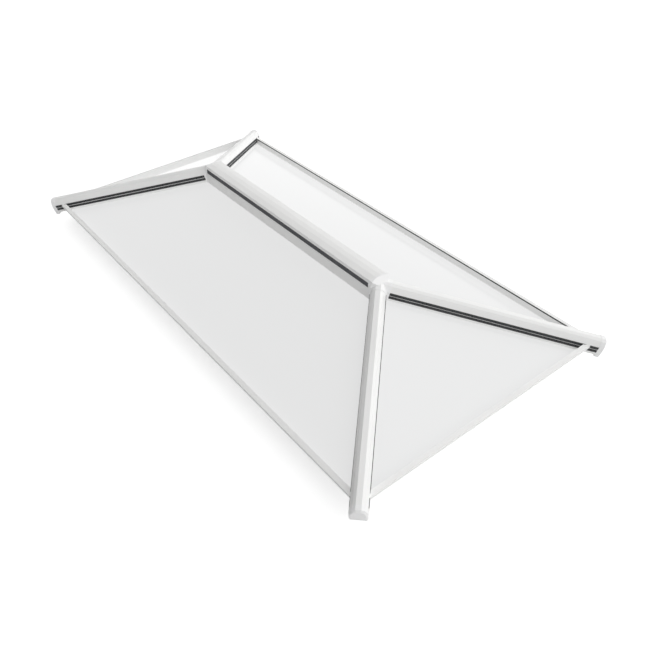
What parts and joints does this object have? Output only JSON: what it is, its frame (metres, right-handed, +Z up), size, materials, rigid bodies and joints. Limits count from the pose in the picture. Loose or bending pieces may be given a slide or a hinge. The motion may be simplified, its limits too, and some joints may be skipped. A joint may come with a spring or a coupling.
{
  "type": "hipped roof lantern skylight",
  "caption": "Fixed four-sided hipped roof skylight: sealed glass panes on a slim white aluminium frame with hip and ridge caps.",
  "frame": {"origin": "centre of the base, on the underside of the ring beam, midway along its length and width", "axes": "+X along the ridge, +Y across it to the back, +Z up"},
  "size_m": [2.0626, 1.0626, 0.3089],
  "materials": {
    "frame": "satin white powder coat on aluminium",
    "moulding": "satin white moulding",
    "black_seal": "matt black",
    "spacer": "matt",
    "glass": "pale grey, glossy"
  },
  "bodies": {
    "root": {"bed_seals": "black_seal", "eaves_beam_back": "frame", "eaves_beam_front": "frame", "eaves_beam_left": "frame", "eaves_beam_right": "frame", "eaves_cover_back": "frame", "eaves_cover_front": "frame", "eaves_cover_left": "frame", "eaves_cover_right": "frame", "eaves_rail_back": "frame", "eaves_rail_front": "frame", "eaves_rail_left": "frame", "eaves_rail_right": "frame", "eaves_seals": "black_seal", "glass_back": "glass", "glass_front": "glass", "glass_left": "glass", "glass_right": "glass", "hip_cap_back_left": "frame", "hip_cap_back_right": "frame", "hip_cap_front_left": "frame", "hip_cap_front_right": "frame", "hip_end_cap_back_left": "moulding", "hip_end_cap_back_right": "moulding", "hip_end_cap_front_left": "moulding", "hip_end_cap_front_right": "moulding", "hip_gaskets": "black_seal", "hip_rafter_back_left": "frame", "hip_rafter_back_right": "frame", "hip_rafter_front_left": "frame", "hip_rafter_front_right": "frame", "hip_retainer_back_left": "frame", "hip_retainer_back_right": "frame", "hip_retainer_front_left": "frame", "hip_retainer_front_right": "frame", "junction_cover_left": "moulding", "junction_cover_right": "moulding", "ridge_beam": "frame", "ridge_cap": "frame", "ridge_end_cover_left": "moulding", "ridge_end_cover_right": "moulding", "ridge_gaskets": "black_seal", "ridge_retainer": "frame", "spacer_bars": "spacer"}
  },
  "joints": []
}
